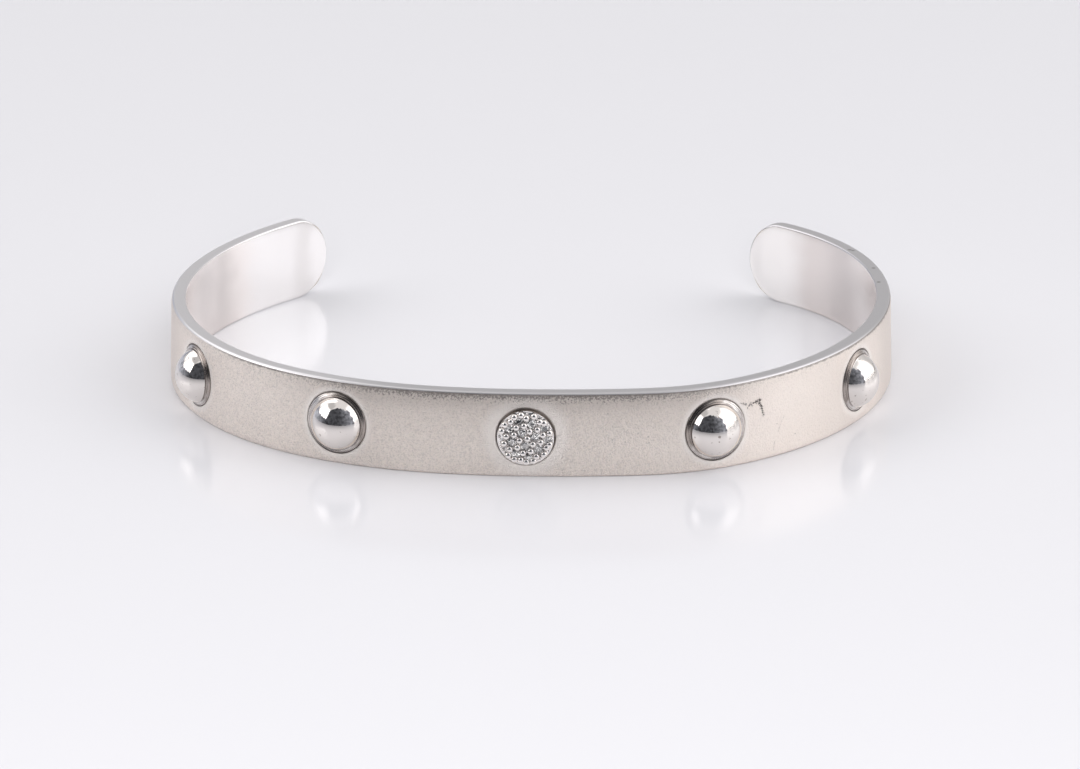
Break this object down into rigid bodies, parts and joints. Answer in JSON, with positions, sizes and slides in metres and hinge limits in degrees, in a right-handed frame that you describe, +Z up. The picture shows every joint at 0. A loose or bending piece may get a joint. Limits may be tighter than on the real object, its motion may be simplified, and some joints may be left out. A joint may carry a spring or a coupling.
{
  "type": "cuff bangle",
  "caption": "Open C-shaped cuff bangle: a flat matte silver band with rounded tips, polished dome studs in round recesses and a middle disc pave-set with small stones.",
  "frame": {"origin": "under the middle of the bangle as it lies on its lower edge, on the surface that it rests on", "axes": "+Z up across the band's height; -Y is the front, with the disc of stones; +Y is the open side between the tips; +X to the right seen from the front"},
  "size_m": [0.064, 0.049, 0.0075],
  "materials": {
    "matte_silver": "satin, fine blasted grain outside and brushed-smooth inside",
    "polished_silver": "mirror polished",
    "stone": "clear faceted stone"
  },
  "bodies": {
    "root": {"cuff_band": "matte_silver", "stud_1": "polished_silver", "stud_2": "polished_silver", "stud_3": "polished_silver", "stud_4": "polished_silver", "pave_setting": "polished_silver", "stone_01": "stone", "stone_02": "stone", "stone_03": "stone", "stone_04": "stone", "stone_05": "stone", "stone_06": "stone", "stone_07": "stone", "stone_08": "stone", "stone_09": "stone", "stone_10": "stone", "stone_11": "stone", "stone_12": "stone"}
  },
  "joints": []
}
